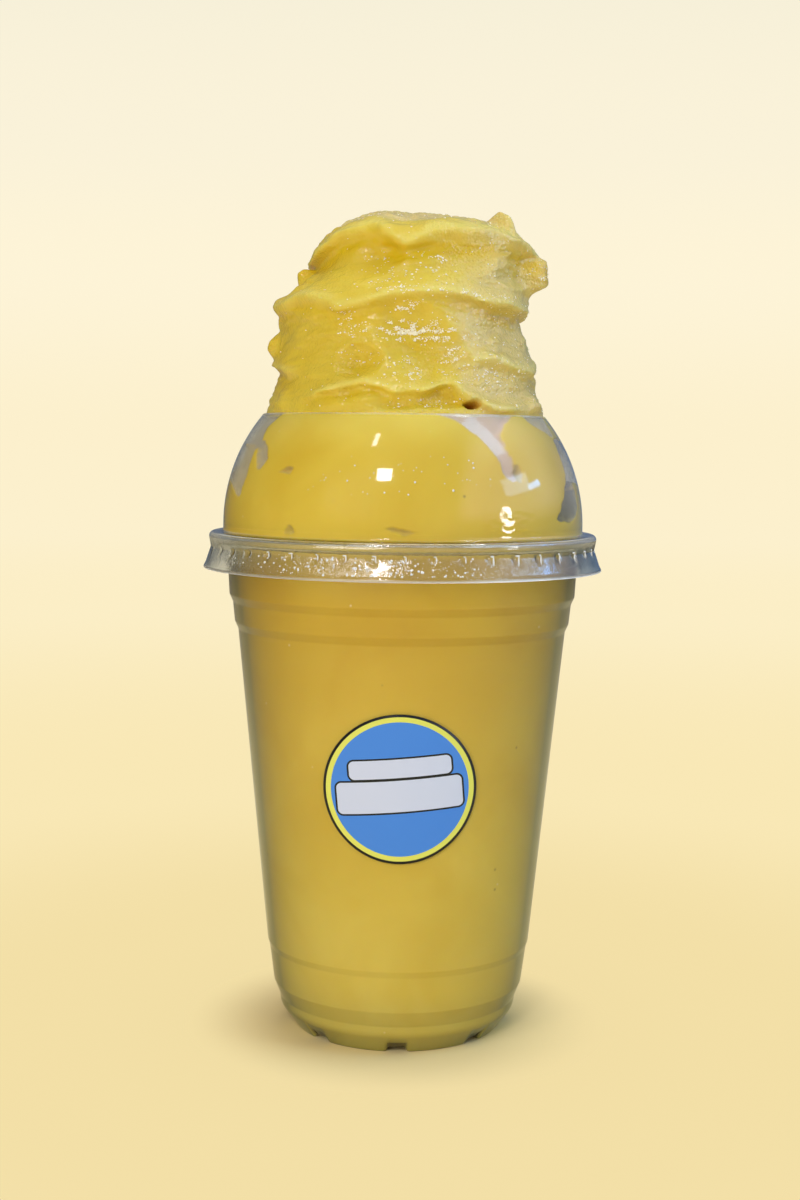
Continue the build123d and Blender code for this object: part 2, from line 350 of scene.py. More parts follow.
label_low, label_high = (1000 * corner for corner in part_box("label"))
label_middle = (label_low.z + label_high.z) / 2
label_radius = (label_high.z - label_low.z) / 2
label_stand_off, label_thickness = 0.06, 0.12
dark_ink, white_ink = (0.01, 0.012, 0.014), (0.64, 0.71, 0.95)
label_inks = (  # where each ink starts, as a share of the radius, and its colour
    (0.0, (0.066, 0.262, 0.85)),
    (0.895, (0.78, 0.8, 0.15)),
    (0.962, dark_ink),
)
label_bars = ((5.3, 12.4, 2.3), (-1.6, 15.2, 3.9))  # rise, half length, half height
bar_corner, bar_edge, bar_tilt = 1.3, 0.45, 5.0


def wall_radius(height):
    """Outside radius of the cup's plain wall, a straight taper between its two ends."""
    share = (height - taper_low) / (taper_top - taper_low)
    return taper_low_radius + share * (taper_top_radius - taper_low_radius)


def label_layer(reach, off_wall):
    """Points of one face of the label: a flat disc's x and z kept, and y set so that the
    point lies on the cup's taper, off_wall outside it."""
    turn = np.radians(np.arange(128) * 360 / 128)
    x = reach[:, None] * np.cos(turn)
    z = label_middle + reach[:, None] * np.sin(turn)
    return np.stack([x, -np.sqrt((wall_radius(z) + off_wall) ** 2 - x**2), z], axis=-1)


def vector_of(tree, operation, *values):
    """Output of a Vector Math node: a number for LENGTH, and else a vector."""
    node = new_node(tree, "VectorMath", dict(enumerate(values)), operation=operation)
    return node.outputs["Value" if operation == "LENGTH" else "Vector"]


def ramped(tree, share, steps, interpolation="EASE"):
    """Colour of a colour ramp that has the given places and colours."""
    node = new_node(tree, "ValToRGB", {"Fac": share})
    ramp = node.color_ramp
    ramp.interpolation = interpolation
    ramp.elements.remove(ramp.elements[1])
    for place, tint in steps:
        element = ramp.elements[0] if place == steps[0][0] else ramp.elements.new(place)
        element.position, element.color = place, (*tint, 1)
    return node.outputs["Color"]


def principled(tree, inputs):
    """Ends a material with a Principled shader."""
    show(tree, new_node(tree, "BsdfPrincipled", inputs).outputs["BSDF"])


disc = np.linspace(1, label_radius, 20)
front = label_layer(disc, label_stand_off + label_thickness)
back = label_layer(disc, label_stand_off)
grid = np.concatenate([front, back[::-1]])[::-1]
label = skin("round_label", grid, first=back[0].mean(0), last=front[0].mean(0))

tree = new_material(label, "label inks")
place = object_place(tree)
middle = {"Vector": place, "Location": (0, 0, -label_middle / 1000)}
centred = new_node(tree, "Mapping", middle).outputs["Vector"]
flat = vector_of(tree, "MULTIPLY", centred, (1000, 0, 1000))  # millimetres, without the bend
share = maths(tree, "DIVIDE", vector_of(tree, "LENGTH", flat), label_radius)
colour = ramped(tree, share, label_inks, "CONSTANT")
for rise, half_length, half_height in label_bars:
    bar = {"Vector": flat, "Location": (0, 0, rise), "Rotation": (0, -np.radians(bar_tilt), 0)}
    tilted = new_node(tree, "Mapping", bar, vector_type="TEXTURE").outputs["Vector"]
    mirrored = vector_of(tree, "ABSOLUTE", tilted)
    inner_corner = (half_length - bar_corner, 0, half_height - bar_corner)
    beyond = vector_of(tree, "SUBTRACT", mirrored, inner_corner)
    to_bar = vector_of(tree, "LENGTH", vector_of(tree, "MAXIMUM", beyond, (0, 0, 0)))
    for edge, ink in ((bar_corner + bar_edge, dark_ink), (bar_corner, white_ink)):
        colour = mixed(tree, maths(tree, "LESS_THAN", to_bar, edge), colour, ink)
fibre = noise(tree, place, 900, 3)
varnished = {
    "Base Color": colour,
    "Roughness": rescaled(tree, fibre, 0.0, 1.0, 0.28, 0.48),
    "Specular IOR Level": 0.35,
    "Normal": bumped(tree, fibre, 0.0002, 0.05),
}
principled(tree, varnished)
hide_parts("label")
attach(label, "root")

# -------- Lid
# A clear dome lid with an open top, formed from thinner sheet than the cup. Its flange sits
# on the cup's rim, and its flared skirt grips under the rim with a ring of small pressed-in
# lugs.

lid_wall = 0.4
flange_top = cup_height + 0.5
neck_radius = rim_radius + 0.55
dome_radius = rim_radius - 2.6
dome_foot = flange_top + 1.8
dome_arc_radius = 44.0
dome_centre = dome_radius - dome_arc_radius
opening_height = 1000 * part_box("lid")[1].z
opening_angle = np.arcsin((opening_height - dome_foot) / dome_arc_radius)
skirt_corners = (
    (neck_radius + 1.90, flange_top - 9.0, 0.0),
    (neck_radius + 1.35, flange_top - 7.9, 0.6),
    (neck_radius, flange_top - 3.9, 1.3),
    (neck_radius + 0.45, flange_top - 1.3, 0.8),
    (neck_radius + 0.40, flange_top, 1.2),
    (dome_radius, flange_top, 0.9),
    (dome_radius, dome_foot, 0.0),
)
lug_count, lug_half_turn, lug_reach = 44, 1.5, 0.55
lug_top, lug_bottom = cup_height - 2.75, cup_height - 5.1
crinkle_azimuth, crinkle_level, crinkle_depth = 34, dome_foot + 3.5, 0.06
wet_azimuth, wet_level = 4, flange_top - 5.6
lid_columns, arc_steps = 528, 48


def dome_arc(radius, rise):
    """Points of the dome's arc: its centre plus radius times the cosine and sine of the rise."""
    return np.stack([dome_centre + radius * np.cos(rise), dome_foot + radius * np.sin(rise)], axis=1)


def lid_side(inset):
    """Skirt, flange and dome, moved inwards by inset. The dome is one arc from its upright
    foot to the cut edge, with more points near its foot."""
    rise = opening_angle * np.linspace(0, 1, arc_steps)[1:] ** 1.3
    skirt = spaced(outline(skirt_corners, inset), 0.85)
    return np.vstack([skirt, dome_arc(dome_arc_radius - inset, rise)])


def rolled_edge(start, end):
    """Points of the half circle that closes a sheet's edge, from one face to the other: the
    middle plus cosine times half the way there, plus sine times half the thickness ahead."""
    half = (np.array(start) - np.array(end)) / 2
    swing = np.linspace(0, np.pi, 7)[1:-1, None]
    ahead = np.array([-half[1], half[0]])
    return (start + end) / 2 + np.cos(swing) * half + np.sin(swing) * ahead


def waves(points, length, seed, stretch=(1, 1, 1), count=36):
    """Smooth random relief of about unit height: a sum of sines, each along a random
    direction, with wavelengths round the given one, made longer along an axis by stretch."""
    draw = np.random.default_rng(seed)
    way = draw.normal(size=(count, 3))
    norm = np.linalg.norm(way, axis=1)[:, None]
    way *= 2 * np.pi / length * draw.uniform(0.7, 1.5, (count, 1)) / norm
    phase = draw.uniform(0, 2 * np.pi, count)
    return np.sin(points @ (way / np.array(stretch)).T + phase).sum(-1) * np.sqrt(2 / count) / 1.5


def bell(distance, half_width):
    """A bell of height 1: e to the minus square of distance over half width."""
    return np.exp(-((distance / half_width) ** 2))


def apart(azimuth, middle):
    """Signed difference of two azimuths in degrees, from -180 to 180."""
    return (azimuth - middle + 180) % 360 - 180


def press_in(grid, depth):
    """Moves the points of a grid straight towards the Z axis by their depths."""
    grid[..., :2] *= (1 - depth / np.hypot(grid[..., 0], grid[..., 1]))[..., None]


outer, inner = lid_side(0.0), lid_side(lid_wall)[::-1]
edges = rolled_edge(outer[-1], inner[0]), rolled_edge(inner[-1], outer[0])
lid_grid, lid_azimuth = turned(np.vstack([outer, edges[0], inner, edges[1]]), lid_columns)
level = lid_grid[..., 2]
lug_across = off_nearest(lid_azimuth, lug_count)
lug_across = 1 - soft_step(lug_across, lug_half_turn - 0.8, lug_half_turn)
lug_along = soft_step(level, lug_bottom, lug_bottom + 1.3)
lug_along = lug_along * (1 - soft_step(level, lug_top - 0.3, lug_top + 0.2))
crinkle = bell(lid_azimuth - crinkle_azimuth, 7.0) * bell(level - crinkle_level, 3.6)
crinkle = crinkle_depth * crinkle * waves(lid_grid, 2.0, 2, (2.2, 2.2, 0.55))
press_in(lid_grid, lug_reach * lug_across * lug_along + crinkle)
lid = skin("dome_lid", lid_grid, loop=True)
cut = np.zeros(lid_grid.shape[:2])
cut[0] = 1
cut[-6:] = 1
cut[len(outer) - 1 : len(outer) + 6] = 1
mark(lid, "cut_edge", cut)
wet = bell(apart(lid_azimuth, wet_azimuth), 50) * bell(level - wet_level, 2.6)
wet = wet * soft_step(waves(lid_grid, 7.0, 6), -1.0, 0.8)
mark(lid, "wet", np.clip(wet, 0, 1))
# Painted shade: how far the plastic greys on the slant is set per part, and on the skirt it is darker to
# the right and lighter to the left.
slant_tint_and_shade = np.where(level < dome_foot, 0.35, 0.6)
skirt_tint_and_side_shade = 1.7 + 0.6 * np.sin(np.radians(lid_azimuth))
slant_tint_and_shade = np.where(level < flange_top - 2.4, skirt_tint_and_side_shade, slant_tint_and_shade)
mark(lid, "slant_tint_and_shade", (1 - cut) * slant_tint_and_shade)
add_clear_plastic(lid, "clear lid plastic", 0.06, 0.95)
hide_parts("lid")
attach(lid, "root")

# -------- Fill
# The drink that fills cup and dome: mango and ice blended to a thick paste, pressed smooth
# where it touches the plastic, which it wets. In the dome it has left air gaps, and in them
# its own surface is rough.

wetting = 0.2  # how far the drink reaches into the plastic, so that no film of air shows
fill_columns = 380
# The tones of the air gaps are painted light: a pale painted reflection, painted shade, and deep painted
# shade in the darkest slits.
air_gaps = (  # depth, tones, and down from the top its heights with the azimuths of its edges
    (
        *(1.8, (0.2, 0.75, 0)),
        ((160.5, -170, -53), (158, -168, -57), (155.7, -160, -61), (152.5, -150, -57.5))
        + ((150.3, -145, -57),),
    ),
    (1.6, (0.3, 0.60, 0), ((152.5, -60.5, -56.5), (150, -59.5, -53), (148, -57.5, -50.5), (145, -55, -52))),
    (
        *(1.6, (0.15, 0.50, 0)),
        ((152.5, -100, -61.5), (147.5, -92, -61), (143, -80, -60.5), (139.3, -67, -61.5)),
    ),
    (2.4, (0.6, 0.30, 0), ((152.5, -150, -82), (146, -140, -87), (141, -125, -95))),
    (
        *(0.9, (1.0, 0, 0)),
        ((160.5, 5, 48), (158.6, 15, 45), (156.5, 21, 40), (154, 25.5, 37.3), (151, 30, 36.5))
        + ((147.5, 33.2, 37), (143.5, 35.8, 37.8)),
    ),
    (0.9, (0.5, 0.30, 0), ((160.5, 50, 72), (158, 54, 72), (156, 60, 71), (154, 66, 70))),
    (
        *(2.2, (0.1, 0.85, 0)),
        ((153.4, 67.5, 74), (152.0, 67, 86), (149.5, 66.3, 94), (146.5, 65.5, 97), (144, 65.5, 92))
        + ((142.2, 68, 84),),
    ),
    (
        *(2.8, (0, 0, 0.97)),
        ((144.2, 65, 70), (140.5, 62, 73.5), (137, 58.3, 72), (134.2, 55, 68), (133.2, 56, 64)),
    ),
    (2.0, (0, 0, 0.30), ((147.2, 37.6, 39.8), (145, 36.8, 40.6), (143, 37.8, 39.6))),
    (0.9, (0, 0.15, 0), ((145.9, -40, -37), (144.7, -44, -38))),
    (1.2, (0, 0, 0.25), ((132.9, -36.6, -34.8), (130.2, -38.6, -33.0))),
    (0.7, (0, 0, 0.15), ((132.2, -6, -1), (131, 0, 8.5))),
    (2.0, (0.6, 0.1, 0), ((160.5, 128, 196), (155, 140, 188), (150, 146, 180), (144, 160, 170))),
    (1.4, (0, 0.2, 0.2), ((137.5, -171, -164), (135.5, -176, -156), (134, -172, -160))),
)
fill_painted_tones = (  # the three painted tones of an air gap, a pale reflection, shade and deep shade, and their colours
    ("painted_pale_reflection", (0.66, 0.48, 0.33)),
    ("dusky", (0.285, 0.262, 0.205)),
    ("dark", (0.12, 0.09, 0.005)),
)
# Painted light and shade by height: greyer and paler at the foot and low in the cup for light bounced off
# the floor, darkening upwards to the darkest amber shaded under the skirt, and lighter again in the dome.
shading_height = 173.0
fill_light_by_height = (  # height as a share of the shading height, colour
    (0.00, (0.6, 0.58, 0.15)),
    (0.06, (0.66, 0.545, 0.12)),
    (0.13, (0.78, 0.61, 0.105)),
    (0.26, (0.75, 0.565, 0.075)),
    (0.45, (0.72, 0.51, 0.052)),
    (0.58, (0.67, 0.448, 0.032)),
    (0.66, (0.64, 0.415, 0.018)),
    (0.728, (0.54, 0.35, 0.014)),
    (0.762, (0.77, 0.56, 0.06)),
    (0.87, (0.74, 0.535, 0.048)),
    (0.95, (0.82, 0.65, 0.105)),
)

in_cup = spaced(outline(cup_corners, cup_wall - wetting), 1.9)[:-1]
rim_side, dome_side = mouth_radius - cup_wall + wetting, dome_radius - lid_wall + wetting
past_rim = [(rim_side, cup_height - 6.0), (rim_side, cup_height - 0.1)]
past_rim += [(dome_side, cup_height - 0.1), (dome_side, dome_foot - 0.3)]
in_dome = dome_arc(dome_arc_radius - lid_wall + wetting, np.linspace(0, opening_angle - 0.006, 100))
under_heap = [(radius, in_dome[-1, 1]) for radius in (34.0, 24.0, 10.0)]
fill_line = np.vstack([in_cup, spaced(np.array(past_rim), 0.8), in_dome, under_heap])
flat_grid, fill_azimuth = turned(fill_line[1:], fill_columns)
fill_grid = vented(flat_grid, fill_azimuth)
in_vent = (fill_grid[..., 2] - flat_grid[..., 2]) / vent_rise
level = fill_grid[..., 2]
fill_radius = np.hypot(fill_grid[..., 0], fill_grid[..., 1])
edge_wander = 0.75 * waves(fill_grid, 9.0, 3) + 0.22 * waves(fill_grid, 3.5, 4)
gap_depth = np.zeros(fill_radius.shape)
painted_tones = np.zeros((3,) + fill_radius.shape)
for depth, painted_tone, rows in air_gaps:
    # Inside a gap, the least of the ways to its sides, its top and its bottom; its slanted
    # sides are read off between the rows.
    heights, lefts, rights = np.array(rows, float)[::-1].T
    middle = (lefts.mean() + rights.mean()) / 2
    here = apart(fill_azimuth, middle) + middle
    to_side = np.minimum(here - np.interp(level, heights, lefts), np.interp(level, heights, rights) - here)
    to_side = np.radians(1) * fill_radius * to_side
    wander = edge_wander * np.clip(to_side.max() / 4, 0.15, 1)
    inside = np.minimum(to_side, np.minimum(level - heights[0], heights[-1] - level) + 0.3) + wander
    painted_tones = np.maximum(painted_tones, np.reshape(painted_tone, (3, 1, 1)) * soft_step(inside, 0.0, 0.5))
    gap_depth = np.maximum(gap_depth, depth * soft_step(inside, 0.0, 0.6 + 0.5 * depth))
above_cup = level > cup_height + 0.2
rough = above_cup * soft_step(gap_depth, 0.2, 1.0)
relief = 0.40 * waves(fill_grid, 9.0, 5) + 0.06 * waves(fill_grid, 2.5, 7)
press_in(fill_grid, above_cup * gap_depth + rough * relief)
fill = skin("smoothie_fill", fill_grid, False, (0, 0, fill_line[0, 1]), (0, 0, fill_line[-1, 1]))
# Painted shade: the vents take the deep painted shade, for the dark space under the cup seen through them.
painted_tones[2] = np.maximum(painted_tones[2], in_vent)
for (name, _), values in zip(fill_painted_tones, painted_tones):
    mark(fill, name, np.append(values, [0, 0]))


def add_fruit_group():
    """Node group: colour of blended mango. Broad clouds shift it between two yellows, and
    sparse dark flecks and pale bubbles are cut out of cell patterns."""
    takes = {"Vector": "Vector", "Bright": "Color", "Deep": "Color", "Fleck Amount": "Float"}
    group, given = new_group("blended mango", takes, {"Color": "Color"})
    clouds = rescaled(group, noise(group, given["Vector"], 34, 3, 0.8), 0.35, 0.68)
    colour = mixed(group, clouds, given["Bright"], given["Deep"])
    flecks = ((210, 0.055, (0.16, 0.09, 0.02)), (330, 0.06, (0.85, 0.72, 0.42)))
    for scale, size, tint in flecks:
        distance, own = cells(group, given["Vector"], scale)
        near = rescaled(group, distance, size, 2 * size, 1.0, 0.0)
        chance = new_node(group, "SeparateColor", {"Color": own}).outputs["Red"]
        rare = maths(group, "MULTIPLY", near, maths(group, "LESS_THAN", chance, 0.07))
        amount = maths(group, "MULTIPLY", rare, given["Fleck Amount"])
        colour = mixed(group, amount, colour, tint)
    give_out(group, {"Color": colour})
    return group


blended_mango = add_fruit_group()


def mango_colour(tree, place, bright, deep, flecks, painted_tones):
    """Colour of the drink: blended mango, with painted light and shade tinted in where the piece is marked
    for it.
    """
    inputs = {"Vector": place, "Bright": bright, "Deep": deep, "Fleck Amount": flecks}
    colour = new_node(tree, "Group", inputs, node_tree=blended_mango).outputs["Color"]
    for name, tint in painted_tones:
        colour = mixed(tree, marked(tree, name), colour, tint)
    return colour


milkiness = {
    "Subsurface Weight": 0.25,
    "Subsurface Radius": (0.004, 0.0024, 0.0006),
    "Subsurface Scale": 1.0,
}
tree = new_material(fill, "smoothie pressed on plastic")
place = object_place(tree)
height = new_node(tree, "SeparateXYZ", {"Vector": place}).outputs["Z"]
swayed = maths(tree, "MULTIPLY_ADD", noise(tree, place, 22, 1), 0.006, height)
height_shading = ramped(tree, maths(tree, "DIVIDE", swayed, shading_height / 1000), fill_light_by_height)
deeper = mixed(tree, 1, height_shading, (0.92, 0.86, 0.6), blend_type="MULTIPLY")
colour = mango_colour(tree, place, height_shading, deeper, 0.45, fill_painted_tones)
principled(tree, {"Base Color": colour, "Roughness": 0.55, "IOR": 1.36, **milkiness})
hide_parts("smoothie")
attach(fill, "root")

# -------- Heap
# The same drink, standing above the lid: laid on with a spatula in folds that wrap round the
# heap, with drooping lips, scooped hollows between them, and small curls thrown off. Its open
# surface is wet and grainy with fine ice.

heap_top = 1000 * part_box("smoothie")[1].z
heap_height = heap_top - opening_height
heap_neck = 35.55
heap_rows, heap_columns = 240, 408
heap_sides = (  # share of the height, and how far it reaches left, right, forward and back
    (-0.06, 0.975, 0.975, 0.975, 0.975),
    (0.0, 1.0, 1.005, 1.0, 1.0),
    (0.03, 0.99, 1.005, 0.99, 0.995),
    (0.1, 0.955, 0.955, 0.95, 0.956),
    (0.16, 0.93, 0.945, 0.92, 0.93),
    (0.24, 0.9, 0.935, 0.88, 0.9),
    (0.31, 0.895, 0.9, 0.858, 0.876),
    (0.4, 0.905, 0.855, 0.848, 0.844),
    (0.5, 0.925, 0.835, 0.838, 0.82),
    (0.55, 0.89, 0.845, 0.815, 0.812),
    (0.6, 0.8, 0.86, 0.78, 0.805),
    (0.66, 0.715, 0.87, 0.735, 0.8),
    (0.74, 0.645, 0.885, 0.69, 0.79),
    (0.82, 0.62, 0.86, 0.65, 0.765),
    (0.87, 0.59, 0.8, 0.595, 0.72),
    (0.91, 0.535, 0.735, 0.5, 0.66),
    (0.945, 0.45, 0.64, 0.38, 0.58),
    (0.97, 0.35, 0.47, 0.25, 0.46),
    (0.99, 0.23, 0.25, 0.11, 0.32),
    (1.0, 0.11, 0.11, 0.0, 0.17),
    (1.002, 0.01, 0.01, -0.07, 0.09),
)
heap_folds = (  # stands out, thickness above and below, hollow under it, its reach, droop, crest
    (
        *(2.6, 3.2, 1.9, 2.2, 5.0, 1.4),
        ((-130, 0.70), (-100, 0.75), (-75, 0.79), (-60, 0.825), (-50, 0.875), (-28, 0.900))
        + ((-19, 0.870), (-12, 0.812), (-6, 0.820), (4, 0.868), (20, 0.880), (46, 0.880))
        + ((68, 0.850), (88, 0.790), (120, 0.790), (165, 0.70)),
    ),
    (
        *(1.9, 2.8, 1.5, 0.9, 5.0, 0.7),
        ((-145, 0.63), (-110, 0.56), (-80, 0.525), (-63, 0.535), (-54, 0.563), (-40, 0.550))
        + ((-28, 0.505), (-15, 0.520), (-3, 0.570), (16, 0.582), (28, 0.572), (46, 0.536))
        + ((80, 0.532), (110, 0.50), (150, 0.42)),
    ),
    (
        *(1.7, 2.2, 1.2, 1.0, 2.5, 0.9),
        ((-48, 0.07), (-30, 0.115), (-18, 0.150), (-11, 0.140), (-4, 0.112), (7, 0.112))
        + ((14, 0.162), (19, 0.152), (24, 0.095), (36, 0.035), (60, 0.02)),
    ),
    (
        *(0.8, 2.4, 1.6, 0.5, 4.0, 0.3),
        ((18, 0.23), (40, 0.27), (62, 0.22), (90, 0.25), (125, 0.23), (165, 0.16)),
    ),
    (1.9, 3.2, 1.8, 1.2, 4.0, 0.8, ((-175, 0.27), (-130, 0.34), (-100, 0.29), (-75, 0.24), (-48, 0.19))),
    (2.0, 3.4, 1.8, 1.4, 4.0, 1.0, ((100, 0.30), (130, 0.34), (170, 0.42), (215, 0.53), (240, 0.58))),
    (2.0, 3.4, 1.6, 1.6, 4.5, 1.0, ((125, 0.64), (160, 0.58), (200, 0.66), (240, 0.78))),
)
heap_scoops = (  # azimuth, share, half width and half height in mm, lean, depth, raised edge
    (-25, 0.745, 8.0, 7.0, 0.3, 1.8, 0.0),
    (20, 0.760, 15.0, 5.5, 0.0, 1.3, 0.0),
    (7, 0.330, 11.0, 11.5, -0.35, 2.3, 0.25),
    (-21, 0.240, 6.4, 4.6, 0.2, 1.9, 0.25),
    (15, 0.066, 7.5, 3.2, 0.3, 2.2, 0.0),
    (-5, 0.045, 7.0, 1.8, 0.0, 0.9, 0.0),
    (28.0, 0.052, 2.5, 1.6, 0.5, 6.0, 0.0),
    (52, 0.400, 12.0, 8.0, -0.2, 0.9, 0.2),
    (64, 0.700, 11.0, 4.5, 0.3, 1.2, 0.3),
    (-66, 0.420, 12.0, 4.0, 0.1, 0.8, 0.1),
    (-150, 0.49, 16.0, 6.0, 0.3, 2.6, 0.6),
    (140, 0.80, 12.0, 6.0, -0.3, 2.4, 0.6),
    (172, 0.22, 14.0, 6.0, 0.2, 2.2, 0.6),
)
heap_lumps = (  # azimuth, share, radius, how far it stands out, how far it is lifted
    (-88, 0.345, 2.5, 2.8, 0.0),
    (-86, 0.672, 2.2, 3.6, 0.0),
    (-68, 0.620, 3.0, 0.9, 0.4),
    (66, 0.915, 1.6, 1.3, 2.3),
    (84, 0.700, 4.4, 6.1, -0.3),
    (-32, 0.050, 4.6, 1.2, 0.0),
    (-62, 0.040, 3.6, 1.1, 0.0),
    (-17, 0.060, 3.2, 0.8, 0.0),
    (66, 0.030, 3.8, 1.4, 0.0),
    (152, 0.41, 2.6, 2.6, 0.0),
    (-140, 0.60, 2.4, 2.4, 0.4),
    (175, 0.86, 2.8, 2.6, 1.0),
)
heap_painted_tones = (  # what parts of the heap are marked as, and their colours: painted sheen on the frosty side and top, painted highlight on crests, painted shade in hollows and the cavity
    ("frost_and_sheen", (0.69, 0.545, 0.195)),
    ("crest", (0.78, 0.67, 0.15)),
    ("hollow", (0.68, 0.46, 0.006)),
    ("cavity", (0.45, 0.18, 0.015)),
)


def softened(values, width):
    """The values averaged over a bell-shaped window of an odd number of neighbours."""
    window = np.hanning(width + 2)[1:-1]
    return np.convolve(np.pad(values, width // 2, mode="edge"), window / window.sum(), mode="valid")


def facing_of(grid):
    """Outward vectors on a grid: the cross product of the steps round it and up it."""
    return np.cross(np.roll(grid, -1, 1) - np.roll(grid, 1, 1), np.gradient(grid, axis=0))


level = np.linspace(heap_sides[0][0], heap_sides[-1][0], 1200)
smoothing = soft_step(level, 0.0, 0.04) * (1 - soft_step(level, 0.90, 0.96))
table = np.array(heap_sides)
sides = [np.interp(level, table[:, 0], table[:, k]) for k in (1, 2, 3, 4)]
reaches = [heap_neck * (smoothing * softened(side, 41) + (1 - smoothing) * side) for side in sides]
travel = np.hypot(np.gradient(level) * heap_height, np.gradient(sum(reaches)) / 4)
travel = np.cumsum(travel)
at_row = np.interp(np.linspace(travel[0], travel[-1], heap_rows), travel, np.arange(level.size))
heap_share, left, right, front, behind = (
    np.interp(at_row, np.arange(level.size), values)[:, None] for values in (level, *reaches)
)
heap_azimuth = np.arange(heap_columns) * 360 / heap_columns
turn = np.radians(heap_azimuth)[None, :]
half_width = (left + right) / 2
heap_grid = np.stack(
    [
        (right - left) / 2 + half_width * np.sin(turn),
        (behind - front) / 2 - (front + behind) / 2 * np.cos(turn),
        opening_height + heap_height * heap_share + 0 * turn,
    ],
    axis=-1,
)
facing = facing_of(heap_grid)
facing /= np.linalg.norm(facing, axis=-1)[..., None]

push, droop, hollow_shade, crest_highlight, cavity = (np.zeros(facing.shape[:2]) for _ in range(5))
for out, above, below, hollow, reach, sag, crest in heap_folds:
    # A crest stands out by a bell, steeper below than above, and below it the surface steps
    # in to a hollow that fades with an exponential.
    crest = np.array(crest, float)
    along = np.linspace(crest[0, 0], crest[-1, 0], 400)
    path = softened(np.interp(along, crest[:, 0], crest[:, 1]), 19)
    for whole_turn in (-360, 0, 360):
        here = heap_azimuth + whole_turn
        run_out = soft_step(here, crest[0, 0], crest[0, 0] + 18)
        run_out = run_out * (1 - soft_step(here, crest[-1, 0] - 18, crest[-1, 0]))
        off = heap_height * (heap_share - np.interp(here, along, path)) + 0.25 * waves(heap_grid, 8.0, 11)
        under = (out + hollow) * bell(off, below) - hollow * np.exp(np.minimum(off, 0) / reach)
        push += run_out * np.where(off > 0, out * bell(off, above), under)
        droop += run_out * sag * bell(off, np.where(off > 0, above, below))
        hollow_shade += run_out * 0.9 * bell(off + 2.2 * below, 1.2 * below) * min(1, hollow / 1.5)
        crest_highlight += run_out * bell(off - 0.2, 1.0)
for azimuth, share, half_w, half_h, lean, depth, edge in heap_scoops:
    up = heap_height * (heap_share - share)
    sideways = np.radians(apart(heap_azimuth, azimuth)) * half_width - lean * up
    reach = np.hypot(sideways / half_w, up / half_h) + 0.05 * waves(heap_grid, 6.0, 12)
    dip = np.clip(1 - reach**2, 0, 1) ** 1.4
    push += edge * bell(reach - 1.05, 0.16) - depth * dip
    hollow_shade += 0.3 * depth * dip
    cavity += max(depth - 4, 0) * dip
for azimuth, share, radius, out, lift in heap_lumps:
    up = heap_height * (heap_share - share)
    sideways = np.radians(apart(heap_azimuth, azimuth)) * np.maximum(half_width, 6.0)
    near = np.exp(-((np.hypot(sideways, up) / radius) ** 3.2))
    push += out * near
    droop -= lift * near
strokes = 0.24 * waves(heap_grid, 7.0, 21, (2.4, 2.4, 0.8))
strokes += 0.13 * waves(heap_grid, 2.6, 22, (2.8, 2.8, 0.7))
strokes += 0.055 * waves(heap_grid, 1.3, 23, (1.5, 1.5, 0.9), 60)
around = apart(heap_azimuth, 0)
wander = waves(heap_grid, 9.0, 31) + 0.5 * waves(heap_grid, 3.5, 32)
# The frosty right side and top are grainier, and the paler tint they are marked with is painted sheen.
lower_frost_and_sheen = 0.65 * soft_step(around + 6 * wander, 16, 33) * (1 - soft_step(heap_share, 0.50, 0.60))
upper_frost_and_sheen = 0.6 * soft_step(around + 8 * wander, 0, 45) * soft_step(heap_share, 0.50, 0.60)
frost_and_sheen = (lower_frost_and_sheen + upper_frost_and_sheen) * (1 - soft_step(around, 115, 150))
frost_and_sheen = np.maximum(frost_and_sheen, 0.5 * soft_step(waves(heap_grid, 16.0, 33), 0.3, 1.0) * (np.abs(around) > 90))
frost_and_sheen = np.maximum(frost_and_sheen, soft_step(heap_share + 0.012 * wander, 0.905, 0.945))
strokes += frost_and_sheen * 0.07 * waves(heap_grid, 1.5, 24, (1, 1, 1), 60)
strokes += soft_step(heap_share, 0.91, 0.96) * 0.55 * waves(heap_grid, 8.0, 25, (2.6, 0.9, 1.0))
room = soft_step(heap_share, -0.01, 0.05)
heap_grid += facing * (room * (push + strokes))[..., None]
heap_grid[..., 2] -= room * droop
poles = (0, 0, heap_grid[0, 0, 2]), heap_grid[-1].mean(0) + (0, 0, 0.02)
heap = skin("smoothie_heap", heap_grid, False, *poles)
# Marks for painted light: shade in hollows, scoops and the cavity, a highlight along crests, and sheen on
# the frosty parts.
for name, values in (("hollow", hollow_shade), ("frost_and_sheen", frost_and_sheen), ("crest", 0.6 * crest_highlight), ("cavity", cavity)):
    values = np.clip(values, 0, 1)
    mark(heap, name, np.append(values, values[[0, -1], 0]))

tree = new_material(heap, "smoothie with open icy surface")
place = object_place(tree)
bright, deep = (0.735, 0.562, 0.066), (0.7, 0.508, 0.036)
grainy = rescaled(tree, noise(tree, place, 60, 2), 0.38, 0.60, 0.30, 1.0)
grainy = maths(tree, "MAXIMUM", grainy, marked(tree, "frost_and_sheen"))
crystals = bumped(tree, cells(tree, place, 1500)[0], 0.00020, grainy)
wet_and_icy = {
    "Base Color": mango_colour(tree, place, bright, deep, 0.25, heap_painted_tones),
    "Roughness": 0.26,
    "IOR": 1.70,
    "Normal": bumped(tree, noise(tree, place, 520, 4), 0.0005, 0.22, crystals),
    **milkiness,
}
principled(tree, wet_and_icy)
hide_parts("smoothie")
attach(heap, "root")

# -------- Ice grains
# Fine grains of crushed ice that lie bare on the heap, in streaks where the spatula drew them
# out and thickly on its frostier right-hand side. Each is half sunk in the drink. Their near
# white colour, thickest where the wet heap catches the light, paints its glints.

